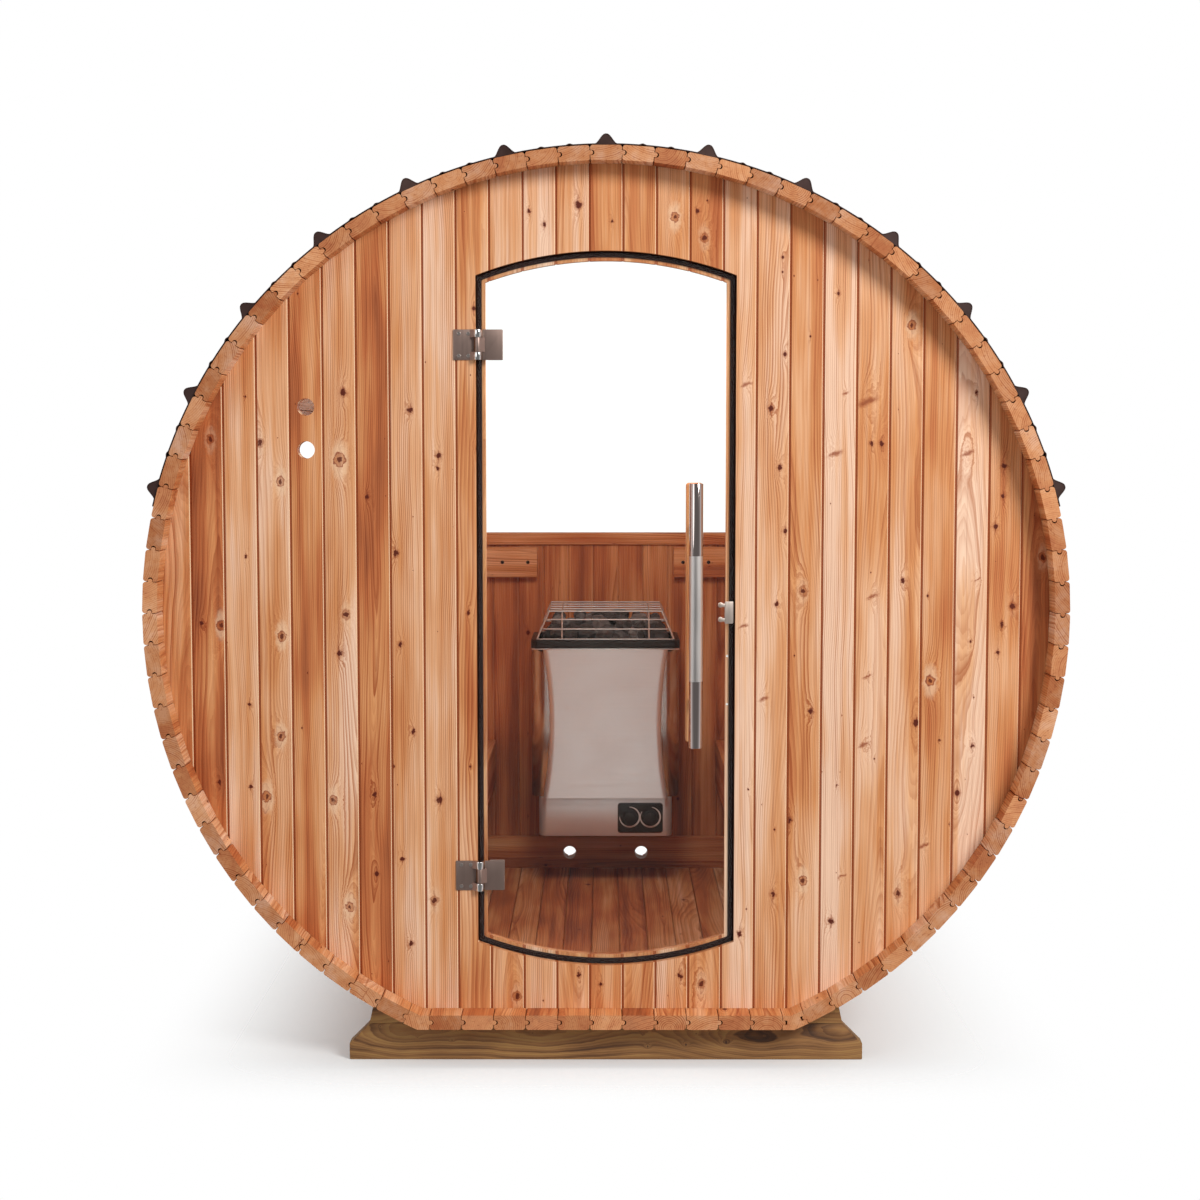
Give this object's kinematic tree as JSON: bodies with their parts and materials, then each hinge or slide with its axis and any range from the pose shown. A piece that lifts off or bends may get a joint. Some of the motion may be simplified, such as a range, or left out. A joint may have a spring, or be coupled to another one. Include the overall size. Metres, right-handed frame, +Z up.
{
  "type": "barrel sauna",
  "caption": "Barrel sauna of coopered cedar staves on two cradles, with a hinged glass door, a half-moon back window, facing benches, a wall heater with stones and a ribbed steel roof.",
  "frame": {"origin": "middle of the footprint on the ground, between the cradles and under the barrel's axis", "axes": "+Z up, +X to the right as seen facing the door, +Y along the barrel from the door to the back window"},
  "size_m": [2.1364, 1.829, 2.1509],
  "materials": {
    "cedar": "planed knotty red cedar, unfinished",
    "treated_pine": "pressure-treated pine, rough sawn",
    "hoop_steel": "stainless strap",
    "roof_steel": "dark brown coated sheet",
    "seal_rubber": "black door seal",
    "hinge_chrome": "polished hinges and catch",
    "handle_steel": "brushed stainless tube",
    "clear_glass": "clear toughened glass",
    "heater_steel": "brushed stainless casing",
    "sauna_stone": "dark split stones",
    "black_plastic": "matt black controls"
  },
  "bodies": {
    "cabin": {"front_cradle": "treated_pine", "back_cradle": "treated_pine", "cradle_chocks": "treated_pine", "floor_staves": "cedar", "corner_staves": "cedar", "left_lower_staves": "cedar", "left_middle_staves": "cedar", "left_upper_staves": "cedar", "crown_staves": "cedar", "right_upper_staves": "cedar", "right_middle_staves": "cedar", "right_lower_staves": "cedar", "hoops": "hoop_steel", "front_wall_left": "cedar", "vent_board": "cedar", "front_wall_right": "cedar", "front_wall_head": "cedar", "front_wall_sill": "cedar", "door_seal": "seal_rubber", "hinge_plates": "hinge_chrome", "back_wall_left": "cedar", "back_wall_right": "cedar", "kick_rail": "cedar", "window_sill": "cedar", "window_glass": "clear_glass", "wall_cleats": "cedar", "left_bench_slats": "cedar", "right_bench_slats": "cedar", "bench_aprons": "cedar", "bench_bearers": "cedar", "heater_bracket": "heater_steel", "heater_casing": "heater_steel", "heater_front": "heater_steel", "heater_rim": "heater_steel", "heater_stones": "sauna_stone", "heater_guard": "heater_steel", "control_box": "heater_steel", "control_panel": "black_plastic", "roof_left": "roof_steel", "roof_crown": "roof_steel", "roof_right": "roof_steel"},
    "door": {"door_glass": "clear_glass", "hinge_clamps": "hinge_chrome", "door_handle": "handle_steel", "inner_handle": "cedar", "door_catch": "hinge_chrome"},
    "timer": {"timer_dial": "black_plastic"},
    "thermostat": {"heat_dial": "black_plastic"}
  },
  "joints": [
    {"name": "door_hinge", "type": "hinge", "parent": "cabin", "child": "door", "pos_m": [-0.2955, -0.8595, 1.06], "axis": [0, 0, -1], "range_deg": [0, 110]},
    {"name": "timer_turn", "type": "hinge", "parent": "cabin", "child": "timer", "pos_m": [0.0725, 0.5125, 0.331], "axis": [0, 1, 0], "range_deg": [0, 300]},
    {"name": "thermostat_turn", "type": "hinge", "parent": "cabin", "child": "thermostat", "pos_m": [0.1345, 0.5125, 0.331], "axis": [0, 1, 0], "range_deg": [0, 300]}
  ]
}
